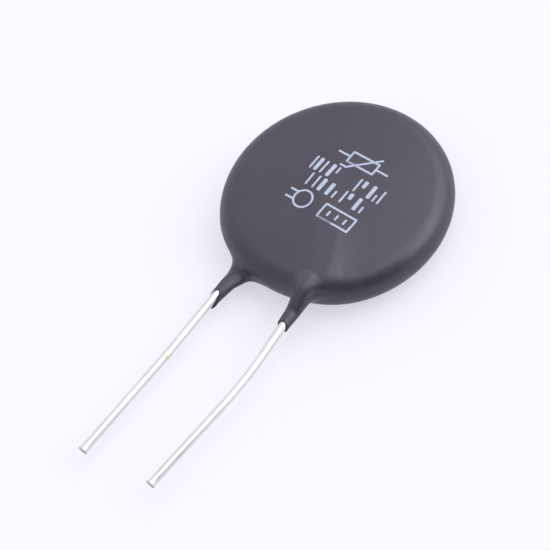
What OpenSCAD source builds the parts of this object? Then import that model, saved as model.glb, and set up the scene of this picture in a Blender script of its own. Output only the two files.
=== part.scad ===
// Disc inrush current limiter: a ceramic thermistor disc with a tinned wire soldered across each face,
// dipped in a dark skin that draws out into a thin neck round each wire.
// Millimetres, +Z up. The part lies on its rear face with its leads along -Y, and the origin is on that
// surface, in the middle of the whole length.

/* [Ceramic disc] */
// Diameter of the sintered disc
ceramic_d = 25; // [22:0.5:26]
// Thickness of the sintered disc
ceramic_t = 3; // [2.6:0.1:3.4]
// Chamfer left by the pressing die on both edges of the disc
ceramic_chamfer = 0.3; // [0.1:0.05:0.5]

/* [Electrodes] */
// Bare ring of ceramic left round each silver electrode
electrode_margin = 0.8; // [0.5:0.1:1.5]
// Thickness of the fired silver
electrode_t = 0.05; // [0.04:0.01:0.1]

/* [Leads] */
// Diameter of the tinned wire
lead_d = 1; // [0.8:0.05:1.1]
// Distance between the two leads where they leave their necks
lead_pitch = 10; // [9:0.25:12]
// How far the pair of leads sits to the right of the disc's centre
lead_shift = -0.4; // [-0.6:0.1:0.6]
// Height of each lead off the disc's middle plane, once it has left the disc
lead_height = 0.65; // [0.4:0.05:1.2]
// Radius of the bends that bring each wire down from its face
bend_r = 1.6; // [1.2:0.1:2]
// Radius of the bend between the soldered run and the way out
run_bend_r = 6; // [3:0.5:8]
// Slant of the soldered run across the face, away from the lead's own direction
solder_run_slant = 34; // [20:1:38]
// Length of the soldered run, from the bend near the rim to the wire's hidden end
solder_run_length = 11.5; // [8:0.5:12]
// Reach of the front lead's tip below the disc's centre
front_reach = 40.6; // [38:0.1:45]
// Outward slant of the front lead before its bow
front_splay = 3.2; // [0:0.1:5]
// Inward slant of the front lead after its bow
front_return = 5.8; // [0.5:0.1:8]
// Where the front lead bows back, below the disc's centre
front_bow_at = 25; // [23:0.5:28]
// Radius of that bow
front_bow_r = 55; // [30:1:70]
// Reach of the rear lead's tip below the disc's centre
rear_reach = 40.7; // [38:0.1:45]
// Outward slant of the rear lead before its kink
rear_splay = 1.7; // [0:0.1:3]
// Outward slant of the rear lead after its kink
rear_return = 3.6; // [3.2:0.1:6]
// Where the rear lead is kinked, below the disc's centre
rear_kink_at = 26; // [23:0.5:28]
// Radius of that kink
rear_kink_r = 20; // [10:1:40]
// How far the cutter spreads each cut end beyond the wire
cut_flare = 0.08; // [0.04:0.01:0.15]
// Length of the spread end
cut_flare_length = 0.35; // [0.2:0.05:0.6]

/* [Solder] */
// Width of the solder mound along each wire
solder_w = 3.4; // [2.8:0.1:4]
// Height of the solder mound above the silver
solder_h = 0.7; // [0.55:0.05:0.8]
// Solder film between the wire and the silver
solder_film = 0.06; // [0.04:0.01:0.15]

/* [Skin] */
// Skin over the disc's edge
skin_edge = 1.25; // [0.9:0.05:1.6]
// Skin over the middle of the disc's faces
skin_face = 1.1; // [0.9:0.05:1.3]
// Fall of each face from its middle to the rim
skin_crown = 0.35; // [0:0.05:0.5]
// Radius of the skin's rounded rim
skin_round = 2.1; // [1.4:0.1:2.3]
// Skin over the wires
skin_wire = 0.18; // [0.15:0.01:0.3]
// How much thinner the skin drained on the side of the leads
skin_drain = 0.5; // [0:0.05:0.6]
// Half the width of the ridge over each soldered run
ridge_half_w = 2.6; // [2:0.1:3.2]
// Size of the soft edge where a wire dives under the face
ridge_blend = 0.5; // [0.3:0.1:1]
// Size of the web between the rim and each neck
web_blend = 3.4; // [2:0.1:4]
// Extra skin at the root of each neck, which tapers away towards its end
neck_flare = 0.2; // [0:0.05:0.3]
// Reach of the front neck's end below the disc's centre
front_neck_reach = 17; // [16.6:0.1:19]
// How much sooner the front neck ends on top than at its middle
front_neck_slant = 0.3; // [0:0.1:1.2]
// Reach of the rear neck's end below the disc's centre
rear_neck_reach = 17.4; // [16.6:0.1:19]
// How much sooner the rear neck ends on top than at its middle
rear_neck_slant = 1; // [0:0.1:1.2]

/* [Hidden] */

black = [0.2, 0.2, 0.22];
ceramic_grey = [0.33, 0.31, 0.3];
silver = [0.86, 0.85, 0.82];
solder_grey = [0.72, 0.73, 0.75];
tin = [0.8, 0.8, 0.79];

ceramic_r = ceramic_d / 2;
electrode_r = ceramic_r - electrode_margin;
lead_r = lead_d / 2;
silver_top = ceramic_t / 2 + electrode_t;
solder_level = silver_top + solder_film + lead_r;
skin_r = ceramic_r + skin_edge;
skin_h = ceramic_t / 2 + skin_face;
crest_h = solder_level + lead_r + skin_wire;

FRONT = 1;
REAR = -1;

// The wires. Each is bent at a list of corners, measured from the disc's centre: its hidden end and its
// first bend on the silver, a drop beyond the rim to its own height, a bow or kink, and its cut tip.
drop_length = 2.4;
drop_from = ceramic_r;
drop_to = drop_from + drop_length;
run_bend_at = 9.2;

function is_front(side) = side == FRONT;
function splay(side) = is_front(side) ? front_splay : rear_splay;
function neck_reach(side) = is_front(side) ? front_neck_reach : rear_neck_reach;
function reach(side) = is_front(side) ? front_reach : rear_reach;
function turn_at(side) = is_front(side) ? front_bow_at : rear_kink_at;

// Distance of a lead from the middle at a given reach, on its way out to its bow or kink
function lead_x(side, at) =
    lead_shift + side * (lead_pitch / 2 + (at - neck_reach(side)) * tan(splay(side)));

function tip_x(side) =
    lead_x(side, turn_at(side))
    - (reach(side) - turn_at(side)) * tan(is_front(side) ? front_return : rear_return);

function wire_corners(side) =
    let (start_x = lead_x(side, drop_to))
    [[start_x - side * solder_run_length * sin(solder_run_slant),
      solder_run_length * cos(solder_run_slant) - run_bend_at, side * solder_level],
     [start_x, -run_bend_at, side * solder_level],
     [start_x, -drop_from, side * solder_level],
     [start_x, -drop_to, side * lead_height],
     [lead_x(side, turn_at(side)), -turn_at(side), side * lead_height],
     [tip_x(side), -reach(side), side * lead_height]];

function wire_bends(side) = [run_bend_r, bend_r, bend_r, is_front(side) ? front_bow_r : rear_kink_r];

function unit(v) = v / norm(v);

// Points along the arc that rounds the corner b between a and c
bend_step = 7;
function rounded(a, b, c, r) =
    let (u = unit(a - b), v = unit(c - b), half = acos(u * v) / 2, turn = 180 - 2 * half,
         centre = b + unit(u + v) * r / sin(half),
         from = b + u * r / tan(half) - centre, to = b + v * r / tan(half) - centre,
         steps = ceil(turn / bend_step) + 1)
    [for (i = [0:steps])
        centre + (from * sin(turn * (1 - i / steps)) + to * sin(turn * i / steps)) / sin(turn)];

function wire_line(side) =
    let (p = wire_corners(side), r = wire_bends(side))
    [p[0], for (i = [1:4]) each rounded(p[i - 1], p[i], p[i + 1], r[i - 1])];

// A round bar swept along a line of points
bar_sides = 16;
module swept_bar(line, r) {
    last = len(line) - 1;
    ring_at = [for (i = [0:last])
        let (along = unit(line[min(i + 1, last)] - line[max(i - 1, 0)]),
             across = unit(cross(along, [0, 0, 1])), up = cross(across, along))
        for (k = [0:bar_sides - 1])
            line[i] + r * (cos(360 * k / bar_sides) * across + sin(360 * k / bar_sides) * up)];
    polyhedron(ring_at, concat(
        [[for (k = [bar_sides - 1:-1:0]) k]],
        [for (i = [0:last - 1], k = [0:bar_sides - 1])
            let (a = i * bar_sides + k, b = i * bar_sides + (k + 1) % bar_sides)
            [a, b, b + bar_sides, a + bar_sides]],
        [[for (k = [0:bar_sides - 1]) last * bar_sides + k]]));
}

// Step of the outlines that are drawn round a corner
round_step = 10;

// Puts the z axis on a line from one point towards another
module aimed(from, to) {
    v = to - from;
    translate(from) rotate([0, acos(v.z / norm(v)), atan2(v.y, v.x)]) children();
}

// The bent part of a wire, which stops just inside the straight end that goes to the board
seat = 0.005;
overlap = 0.4;
module bent_wire(side) {
    line = wire_line(side);
    tip = wire_corners(side)[5];
    end = line[len(line) - 1];
    swept_bar(concat(line, [end + overlap * unit(tip - end)]), lead_r - seat);
}

module straight_end(side) {
    line = wire_line(side);
    end = line[len(line) - 1];
    tip = wire_corners(side)[5];
    length = norm(tip - end);
    aimed(end, tip)
        rotate_extrude($fn = 48) polygon([[0, 0], [lead_r, 0], [lead_r, length - cut_flare_length],
                                          [lead_r + cut_flare, length], [0, length]]);
}

module wire(side) {
    bent_wire(side);
    straight_end(side);
}

// The solder that holds a wire down: a long low mound with rounded ends, the top of a round-ended bar
// that lies under the silver. It stops short of the wire's bend, and it can be sunk into the silver.
solder_stop = 0.5;
module solder_mound(side, sunk = 0) {
    corners = wire_corners(side);
    from = corners[0];
    to = corners[1] + solder_stop * unit(from - corners[1]);
    mound_r = (pow(solder_w / 2, 2) + pow(solder_h, 2)) / (2 * solder_h);
    drop = [0, 0, side * (solder_level - silver_top + mound_r - solder_h)];
    length = norm(to - from);
    intersection() {
        aimed(from - drop, to - drop)
            rotate_extrude($fn = 96) polygon(concat(
                [for (a = [-90:round_step:0]) [mound_r * cos(a), mound_r * sin(a)]],
                [for (a = [0:round_step:90]) [mound_r * cos(a), length + mound_r * sin(a)]]));
        translate([0, 0, side * (silver_top - sunk + mound_r)])
            cube([ceramic_d, ceramic_d, 2 * mound_r], center = true);
    }
}

module disc_blank() {
    rotate_extrude($fn = 120) polygon([
        [0, -ceramic_t / 2], [ceramic_r - ceramic_chamfer, -ceramic_t / 2],
        [ceramic_r, ceramic_chamfer - ceramic_t / 2], [ceramic_r, ceramic_t / 2 - ceramic_chamfer],
        [ceramic_r - ceramic_chamfer, ceramic_t / 2], [0, ceramic_t / 2]]);
}

module silver_print(side) {
    translate([0, 0, side * (ceramic_t + electrode_t) / 2])
        cylinder(h = electrode_t, r = electrode_r, center = true, $fn = 120);
}

// All that went into the dip, as one solid
module dipped_core() {
    disc_blank();
    for (side = [FRONT, REAR]) {
        silver_print(side);
        solder_mound(side, electrode_t / 2);
        bent_wire(side);
    }
}

// The skin. It is the film that clings to what was dipped: a rounded disc with a ridge over each soldered
// run, and two coated wires. All run together as a wet film does. film() is below zero inside it and zero
// on its surface.
function ease(from, to, v) = let (s = min(max((v - from) / (to - from), 0), 1)) s * s * (3 - 2 * s);

function to_segment(p, a, b) =
    let (v = b - a, t = min(max((p - a) * v / (v * v), 0), 1)) norm(p - a - t * v);

function to_line(p, line) = min([for (i = [1:len(line) - 1]) to_segment(p, line[i - 1], line[i])]);

function blended(a, b, size) = min(a, b) - pow(max(size - abs(a - b), 0), 2) / (4 * size);

front_line = wire_line(FRONT);
rear_line = wire_line(REAR);

function line_of(side) = is_front(side) ? front_line : rear_line;

// Number of the point at which a wire's line leaves its first bend
function run_end(side) =
    let (p = wire_corners(side)) len(rounded(p[0], p[1], p[2], run_bend_r));

// The soldered run seen from above, and the wire from its first bend out to its bow or kink
function run_line(side) =
    [for (i = [0:run_end(side)]) [line_of(side)[i].x, line_of(side)[i].y],
     for (at = [drop_from, drop_to]) [wire_corners(side)[2].x, -at]];

function out_line(side) = [for (i = [run_end(side):len(line_of(side)) - 1]) line_of(side)[i]];

front_run = run_line(FRONT);
rear_run = run_line(REAR);
front_out = out_line(FRONT);
rear_out = out_line(REAR);

drain_half_angle = 50;
ridge_foot = 1.2;
function film_disc(p) =
    let (r = norm([p.x, p.y]),
         drained = skin_drain * (1 - ease(0, drain_half_angle, abs(atan2(p.x, -p.y)))) * ease(0, skin_r, r),
         out = r - (skin_r - drained - skin_round),
         face = skin_h - skin_crown * pow(r / skin_r, 2),
         rise = max(crest_h - face, 0) * ease(0, ridge_foot, abs(p.z))
                * (1 - ease(0, ridge_half_w, to_line([p.x, p.y], p.z < 0 ? rear_run : front_run))),
         over = abs(p.z) - (face + rise - skin_round))
    norm([max(out, 0), max(over, 0)]) + min(max(out, over), 0) - skin_round;

function film_wire(p, side) =
    let (flare = neck_flare * (1 - ease(skin_r, neck_reach(side), -p.y))
                 * (1 - ease(lead_height + lead_r, skin_h, abs(p.z))))
    to_line(p, is_front(side) ? front_out : rear_out) - lead_r - skin_wire - flare;

// The web between the rim and the necks is widest at the middle plane, and it has no say higher up the disc
web_low = 1;
web_high = 2.5;
web_from = 6.5;
web_starts = 8.2;
web_full = 13.5;
function film(p) =
    let (disc = film_disc(p))
    -p.y < web_from ? disc
    : let (in_web = ease(web_starts, web_full, -p.y) * (1 - ease(web_low, web_high, abs(p.z))),
           size = ridge_blend + (web_blend - ridge_blend) * in_web)
      blended(blended(disc, film_wire(p, FRONT), size), film_wire(p, REAR), size);

// How far a ray from inside the film goes before it leaves it
function ray_end(from, aim, near, far, tries) =
    let (middle = (near + far) / 2)
    tries == 0
        ? let (a = film(from + near * aim), b = film(from + far * aim)) near + (far - near) * a / (a - b)
    : film(from + middle * aim) < 0
        ? ray_end(from, aim, middle, far, tries - 1)
    : ray_end(from, aim, near, middle, tries - 1);

// The skin is lofted from ribs. A rib starts on top of its root, goes out to the rim where it is aimed and
// back to below the root. The roots lie from the crossing of the two runs down each wire to its neck's end.
flat_rows = 8;
rim_rows = 6;
half_rows = flat_rows + rim_rows;
stations = 16;
arc_ribs = 46;
ray_tries = 10;
row_crowding = 1.7;
root_crowding = 1.35;
outer_rim_angle = 52;
inner_rim_angle = 3;
corner_cut = 0.16;
search_share = 1.25;
neck_r = lead_r + skin_wire;

run_ends = [for (side = [FRONT, REAR]) lead_x(side, drop_to)];
crossing = [(run_ends[0] + run_ends[1]) / 2,
            (run_ends[0] - run_ends[1]) / 2 / tan(solder_run_slant) - run_bend_at];

root_rises_over = 1;
function root(side, s) =
    let (at = (neck_reach(side) + crossing.y) * (1 - pow(1 - s, root_crowding)) - crossing.y)
    [lookup(at, [for (p = line_of(side)) [-p.y, p.x]]), -at,
     side * lead_height * ease(drop_from - root_rises_over, drop_to, at)];

// A point on the plan of the rim and a neck's edge, from the rim (0) to the neck's end (1)
function edge_point(side, outer, s) =
    let (rim_r = outer ? skin_r : skin_r - skin_drain, w = outer ? neck_r : -neck_r,
         at_rim = side * lead_x(side, drop_to) + w, at_end = side * lead_x(side, neck_reach(side)) + w,
         from = outer ? outer_rim_angle : inner_rim_angle, to = asin(at_rim / rim_r),
         corner_y = -rim_r * cos(to), arc = rim_r * abs(from - to) * PI / 180,
         straight = norm([at_end - at_rim, neck_reach(side) + corner_y]), way = s * (arc + straight),
         turn = from + (to - from) * way / arc, share = (way - arc) / straight)
    way < arc ? [side * rim_r * sin(turn), -rim_r * cos(turn)]
              : [side * (at_rim + (at_end - at_rim) * share),
                 corner_y - (neck_reach(side) + corner_y) * share];

// A rib is its root, the way it heads, the lead that it belongs to, how far down that lead it is, and its
// pole's number
function rib_to(at, target, side, s, pole) = [at, unit(target - [at.x, at.y]), side, s, pole];

function lead_rib(side, station, outer) =
    let (s = station / stations, cut = min(corner_cut, s, 1 - s),
         target = (edge_point(side, outer, s - cut) + edge_point(side, outer, s + cut)) / 2)
    rib_to(root(side, s), target, side, s, side == FRONT ? station : stations + station);

function rim_rib(angle) =
    rib_to([crossing.x, crossing.y, 0], skin_r * [cos(angle), sin(angle)], FRONT, 0, 0);

// How far the film reaches from a root: out to the rim, up and down
function rib_size(rib) =
    let (search = search_share * skin_r * (1 - rib[3]) + lead_pitch / 2 * rib[3],
         far = rib[3] == 0 ? 2 * skin_r : search)
    [ray_end(rib[0], [rib[1].x, rib[1].y, 0], 0, far, ray_tries),
     ray_end(rib[0], [0, 0, 1], 0, 2 * skin_h, ray_tries),
     ray_end(rib[0], [0, 0, -1], 0, 2 * skin_h, ray_tries)];

slant_from = 0.55;
function end_slant(rib) =
    (is_front(rib[2]) ? front_neck_slant : rear_neck_slant) / neck_r * ease(slant_from, 1, rib[3]);

// The point of a rib in a row. It is aimed at a plain rounded edge of the rib's size, and lies on the film.
round_share = 0.9;
past_film = 0.5;
function rib_point(rib, size, row) =
    let (below = row > half_rows, i = below ? 2 * half_rows - row : row, h = size[below ? 2 : 1],
         round_w = min(skin_round, round_share * size[0]), round_h = min(skin_round, round_share * h),
         turn = 90 * (i - flat_rows) / rim_rows,
         out = i < flat_rows ? (size[0] - round_w) * pow(i / flat_rows, row_crowding)
                             : size[0] - round_w * (1 - sin(turn)),
         up = i < flat_rows ? h : i == half_rows ? 0 : h - round_h * (1 - cos(turn)),
         z = below ? -up : up,
         aim = unit([rib[1].x * out, rib[1].y * out + end_slant(rib) * z, z]))
    rib[0] + ray_end(rib[0], aim, 0, norm([size[0], h]) + past_film, ray_tries) * aim;

module dipped_skin() {
    rows = 2 * half_rows;
    ribs = concat(
        [for (j = [stations:-1:1]) lead_rib(FRONT, j, true)],
        [for (i = [0:arc_ribs]) rim_rib(outer_rim_angle - 90 + (360 - 2 * outer_rim_angle) * i / arc_ribs)],
        [for (j = [1:stations]) lead_rib(REAR, j, true)],
        [for (j = [stations:-1:1]) lead_rib(REAR, j, false)],
        [for (i = [-1:1]) rim_rib(inner_rim_angle * i - 90)],
        [for (j = [1:stations]) lead_rib(FRONT, j, false)]);
    pole_ribs = concat([rim_rib(0)], [for (side = [FRONT, REAR], j = [1:stations]) lead_rib(side, j, true)]);
    last = len(ribs) - 1;
    tops = len(ribs) * (rows - 1);
    bottoms = tops + len(pole_ribs);
    hubs = bottoms + len(pole_ribs);
    points = concat(
        [for (rib = ribs) let (size = rib_size(rib)) for (row = [1:rows - 1]) rib_point(rib, size, row)],
        [for (rib = pole_ribs) rib_point(rib, rib_size(rib), 0)],
        [for (rib = pole_ribs) rib_point(rib, rib_size(rib), rows)],
        [root(FRONT, 1), root(REAR, 1)]);
    function at(k, row) =
        row == 0 ? tops + ribs[k][4] : row == rows ? bottoms + ribs[k][4] : k * (rows - 1) + row - 1;
    triangles = [for (k = [0:last], row = [0:rows - 1])
        let (next = (k + 1) % len(ribs), hub = hubs + (ribs[k][2] == FRONT ? 0 : 1))
        each ribs[k][3] == 1 && ribs[next][3] == 1
            ? [[at(k, row), hub, at(k, row + 1)], [hub, at(next, row), at(next, row + 1)]]
            : [[at(k, row), at(next, row + 1), at(k, row + 1)],
               [at(k, row), at(next, row), at(next, row + 1)]]];
    polyhedron(points, [for (t = triangles) if (t[0] != t[1] && t[1] != t[2] && t[2] != t[0]) t]);
}

// Depth of the rear ridge's lowest point under the middle plane: the part rests on it
rest_h = max([for (outer = [true, false], j = [1:stations])
    let (rib = lead_rib(REAR, j, outer), size = rib_size(rib))
    for (row = [2 * half_rows - flat_rows:2 * half_rows]) -rib_point(rib, size, row).z]);

module in_place() {
    translate([0, (max(front_reach, rear_reach) - skin_r) / 2, rest_h]) children();
}

module coating() {
    color(black) in_place() difference() {
        dipped_skin();
        dipped_core();
    }
}

module ceramic_disc() {
    color(ceramic_grey) in_place() disc_blank();
}

module electrode(side) {
    color(silver) in_place() silver_print(side);
}

module solder_joint(side) {
    color(solder_grey) in_place() difference() {
        solder_mound(side);
        bent_wire(side);
    }
}

module lead(side) {
    color(tin) in_place() wire(side);
}

coating();
ceramic_disc();
electrode(FRONT);  // front_electrode
electrode(REAR);  // rear_electrode
solder_joint(FRONT);  // front_solder_joint
solder_joint(REAR);  // rear_solder_joint
lead(FRONT);  // front_lead
lead(REAR);  // rear_lead
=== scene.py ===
# Disc inrush current limiter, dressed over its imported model, with the table, light and camera to see it by.
# Lengths are in millimetres from the disc's own centre until a mesh is made, and named angles are in degrees.
import math

import bmesh
import bpy
import numpy as np
from mathutils import Matrix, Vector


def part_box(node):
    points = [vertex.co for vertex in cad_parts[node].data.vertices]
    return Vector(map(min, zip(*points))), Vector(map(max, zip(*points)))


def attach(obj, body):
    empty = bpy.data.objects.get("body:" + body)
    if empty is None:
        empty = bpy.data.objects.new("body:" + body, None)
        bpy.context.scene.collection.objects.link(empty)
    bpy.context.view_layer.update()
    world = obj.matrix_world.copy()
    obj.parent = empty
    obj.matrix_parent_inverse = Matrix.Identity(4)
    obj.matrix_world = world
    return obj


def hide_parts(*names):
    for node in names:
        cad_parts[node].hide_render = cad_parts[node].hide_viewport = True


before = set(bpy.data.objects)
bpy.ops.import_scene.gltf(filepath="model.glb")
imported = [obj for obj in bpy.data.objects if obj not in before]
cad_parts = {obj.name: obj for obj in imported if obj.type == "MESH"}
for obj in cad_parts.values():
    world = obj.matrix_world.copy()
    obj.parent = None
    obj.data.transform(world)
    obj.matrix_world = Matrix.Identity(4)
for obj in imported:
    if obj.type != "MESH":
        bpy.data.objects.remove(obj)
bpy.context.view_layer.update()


# Ceramic disc. Metal oxides are pressed in a round die and sintered into a hard, dark, slightly grainy
# blank. The skin hides it all, and every other piece is placed from its centre.
mm_per_metre = 1000


class Finish:
    """A Principled material whose patterns read the piece's own Object coordinates, in millimetres.

    Its first colour and roughness are the means, and stand wherever no pattern takes their place.
    """

    def __init__(self, name, colour, roughness, metallic=0.0):
        self.material = bpy.data.materials.new(name)
        self.material.use_nodes = True
        self.nodes = self.material.node_tree.nodes
        self.shader = self.nodes["Principled BSDF"]
        self.shader.inputs["Base Color"].default_value = (*colour, 1)
        self.shader.inputs["Roughness"].default_value = roughness
        self.shader.inputs["Metallic"].default_value = metallic
        self.place = self.nodes.new("ShaderNodeMapping")
        self.place.inputs["Scale"].default_value = (mm_per_metre,) * 3
        self.join(self.nodes.new("ShaderNodeTexCoord").outputs["Object"], self.place.inputs["Vector"])

    def join(self, out, into):
        self.material.node_tree.links.new(out, into)

    def grain(self, size, detail=3.0, roughness=0.5, stretch=None):
        """Noise whose lumps are about size millimetres across, or longer along a stretch below 1."""
        noise = self.nodes.new("ShaderNodeTexNoise")
        noise.inputs["Scale"].default_value = 1 / size
        noise.inputs["Detail"].default_value = detail
        noise.inputs["Roughness"].default_value = roughness
        source = self.place.outputs["Vector"]
        if stretch:
            turn = self.nodes.new("ShaderNodeMapping")
            turn.inputs["Scale"].default_value = stretch
            self.join(source, turn.inputs["Vector"])
            source = turn.outputs["Vector"]
        self.join(source, noise.inputs["Vector"])
        return noise.outputs["Fac"]

    def band(self, value, low, high, to_low=0.0, to_high=1.0):
        """value, taken from low..high to to_low..to_high and held there."""
        node = self.nodes.new("ShaderNodeMapRange")
        node.interpolation_type = "SMOOTHSTEP"
        ends = {"From Min": low, "From Max": high, "To Min": to_low, "To Max": to_high}
        for name, number in ends.items():
            node.inputs[name].default_value = number
        self.join(value, node.inputs["Value"])
        return node.outputs["Result"]

    def blend(self, share, low, high):
        """A colour between two, each a triple or another pattern's colour."""
        node = self.nodes.new("ShaderNodeMix")
        node.data_type = "RGBA"
        for socket, colour in ((node.inputs["A"], low), (node.inputs["B"], high)):
            if isinstance(colour, tuple):
                socket.default_value = (*colour, 1)
            else:
                self.join(colour, socket)
        self.join(share, node.inputs["Factor"])
        return node.outputs["Result"]

    def colour(self, pattern):
        self.join(pattern, self.shader.inputs["Base Color"])

    def roughness(self, pattern):
        self.join(pattern, self.shader.inputs["Roughness"])

    def bump(self, pattern, height):
        """Relief of that many millimetres over one pattern, on top of the relief before it."""
        node = self.nodes.new("ShaderNodeBump")
        node.inputs["Distance"].default_value = height / mm_per_metre
        self.join(pattern, node.inputs["Height"])
        before = self.shader.inputs["Normal"]
        if before.is_linked:
            self.join(before.links[0].from_socket, node.inputs["Normal"])
        self.join(node.outputs["Normal"], before)


def dress(node, finish):
    """Gives a CAD node its finish."""
    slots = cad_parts[node].data.materials
    slots.clear()
    slots.append(finish.material)


fired = Finish("fired_ceramic", (0.05, 0.045, 0.04), roughness=0.75)
pit_size, pit_depth = 0.12, 0.01
pit_tone, grain_tone = (0.035, 0.03, 0.028), (0.075, 0.068, 0.06)
pits = fired.grain(pit_size, detail=5)
fired.colour(fired.blend(fired.band(pits, 0.35, 0.7), pit_tone, grain_tone))
fired.bump(pits, pit_depth)
dress("ceramic_disc", fired)

low, high = (np.array(corner) * mm_per_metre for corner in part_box("ceramic_disc"))
centre = (low + high) / 2
ceramic_r = (high[0] - low[0]) / 2
ceramic_t = high[2] - low[2]


# Silver prints. Silver paste is printed on both faces and fired into a dull, slightly yellow metal film,
# and the ring of bare ceramic round it keeps the two faces apart.
fired_silver = Finish("fired_silver", (0.62, 0.6, 0.55), roughness=0.5, metallic=0.9)
streak_size, streak_depth, smooth_streak, dull_streak = 0.3, 0.004, 0.42, 0.62
streaks = fired_silver.grain(streak_size, detail=4)
fired_silver.roughness(fired_silver.band(streaks, 0.3, 0.7, smooth_streak, dull_streak))
fired_silver.bump(streaks, streak_depth)
for name in ("front_electrode", "rear_electrode"):
    dress(name, fired_silver)


# Leads. Each is a 1 mm copper wire, tinned bright, laid on its silver print, bent down past the rim to
# leave near the middle plane, and cut off by a shear that spreads its end.
FRONT, REAR = 1, -1
wire_r = 0.5
silver_t, solder_gap = 0.05, 0.06
solder_level = ceramic_t / 2 + silver_t + solder_gap + wire_r
# past the rim: the wires' height off the middle plane, half their spacing, and the pair's shift to one side
lead_height, lead_half_gap, lead_shift = 0.65, 5, -0.4
# the slanted run over the silver, and where it turns to point out of the disc
run_slant, run_length, run_bend_at = 34, 11.5, 9.2
# the drop over the rim
drop_from, drop_to = ceramic_r, ceramic_r + 2.4
# how far out the resin neck and the wire's tip lie
neck_reach = {FRONT: 17.0, REAR: 17.4}
reach = {FRONT: 40.6, REAR: 40.7}
# the wires spread outwards, and then turn back at a slight bend
splay = {FRONT: 3.2, REAR: 1.7}
turn_at = {FRONT: 25.0, REAR: 26.0}
back_turn = {FRONT: 5.8, REAR: 3.6}
# at the run's bend, the top and the foot of the drop, and the slight bend
bend_radii = {FRONT: (6, 1.6, 1.6, 55), REAR: (6, 1.6, 1.6, 20)}


def slope(degrees):
    return math.tan(math.radians(degrees))


def unit(v):
    return v / np.linalg.norm(v, axis=-1, keepdims=True)


def lead_x(side, at):
    """How far across the wire lies where it is that far out of the disc's centre."""
    return lead_shift + side * (lead_half_gap + (at - neck_reach[side]) * slope(splay[side]))


def wire_corners(side):
    """The run's inner end and its bend, the top and the foot of the drop, the slight bend, and the tip."""
    x = lead_x(side, drop_to)
    out_x = lead_x(side, turn_at[side])
    tip_x = out_x - (reach[side] - turn_at[side]) * slope(back_turn[side])
    slant = math.radians(run_slant)
    start_x, start_y = x - side * run_length * math.sin(slant), run_length * math.cos(slant) - run_bend_at
    return np.array([
        (start_x, start_y, side * solder_level),
        (x, -run_bend_at, side * solder_level),
        (x, -drop_from, side * solder_level),
        (x, -drop_to, side * lead_height),
        (out_x, -turn_at[side], side * lead_height),
        (tip_x, -reach[side], side * lead_height)])


def rounded(a, b, c, r, step):
    """Points along the arc that rounds the corner b."""
    u, v = unit(a - b), unit(c - b)
    half = math.acos(u @ v) / 2
    turn = math.pi - 2 * half
    middle = b + unit(u + v) * r / math.sin(half)
    start, end = b + u * r / math.tan(half) - middle, b + v * r / math.tan(half) - middle
    count = math.ceil(math.degrees(turn) / step) + 1
    points = []
    for k in range(count + 1):
        start_share, end_share = math.sin(turn * (1 - k / count)), math.sin(turn * k / count)
        points.append(middle + (start * start_share + end * end_share) / math.sin(turn))
    return points


def wire_path(side, step):
    """The rounded wire, in steps of that many degrees, and how many points lead up to its run's bend."""
    corners = wire_corners(side)
    path, first = [corners[0]], 0
    for k, r in enumerate(bend_radii[side]):
        path += rounded(corners[k], corners[k + 1], corners[k + 2], r, step)
        first = first or len(path)
    return np.array(path + [corners[-1]]), first


def new_object(name, mesh):
    piece = bpy.data.objects.new(name, mesh)
    bpy.context.scene.collection.objects.link(piece)
    return piece


def new_tree(name, sizes):
    """A Geometry Nodes tree with a geometry in and out and named inputs for its sizes.

    Its last result adds a node: sockets go by their names, or by their numbers as _0, _1.
    """
    tree = bpy.data.node_groups.new(name, "GeometryNodeTree")
    tree.interface.new_socket("Geometry", in_out="INPUT", socket_type="NodeSocketGeometry")
    tree.interface.new_socket("Geometry", in_out="OUTPUT", socket_type="NodeSocketGeometry")
    for label, kind in sizes.items():
        tree.interface.new_socket(label, in_out="INPUT", socket_type="NodeSocket" + kind)
    source, sink = tree.nodes.new("NodeGroupInput"), tree.nodes.new("NodeGroupOutput")

    def add(kind, settings=None, **sockets):
        node = tree.nodes.new(kind)
        for key, value in (settings or {}).items():
            setattr(node, key, value)
        for key, value in sockets.items():
            numbered = key.startswith("_")
            socket = node.inputs[int(key[1:]) if numbered else key.replace("_", " ")]
            if isinstance(value, bpy.types.NodeSocket):
                tree.links.new(value, socket)
            else:
                socket.default_value = value
        return node.outputs[0]

    return tree, source.outputs, sink.inputs[0], add


def grown(piece, tree, values):
    """The plain mesh that a tree makes of a piece, as a new object in its place."""
    modifier = piece.modifiers.new(tree.name, "NODES")
    modifier.node_group = tree
    for item in tree.interface.items_tree:
        if item.in_out == "INPUT" and item.name in values:
            modifier[item.identifier] = values[item.name]
    bpy.context.view_layer.update()
    depsgraph = bpy.context.evaluated_depsgraph_get()
    mesh = bpy.data.meshes.new_from_object(piece.evaluated_get(depsgraph), preserve_all_data_layers=True,
                                           depsgraph=depsgraph)
    name = piece.name
    bpy.data.objects.remove(piece)
    mesh.name = name
    return new_object(name, mesh)


def path_curve(name, strokes):
    """A curve object of open paths. Each is a list of points and their radii, in millimetres."""
    curve = bpy.data.curves.new(name, "CURVE")
    curve.dimensions = "3D"
    for points, radii in strokes:
        spline = curve.splines.new("POLY")
        spline.points.add(len(points) - 1)
        places = (np.asarray(points) + centre) / mm_per_metre
        spline.points.foreach_set("co", np.column_stack([places, np.ones(len(points))]).ravel())
        spline.points.foreach_set("radius", np.asarray(radii, dtype=float))
    return new_object(name, curve)


def even(points, gap):
    """A path's points again, no further apart than gap."""
    out = [points[0]]
    for a, b in zip(points[:-1], points[1:]):
        count = max(1, math.ceil(np.linalg.norm(b - a) / gap))
        out += [a + (b - a) * k / count for k in range(1, count + 1)]
    return np.array(out)


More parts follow.
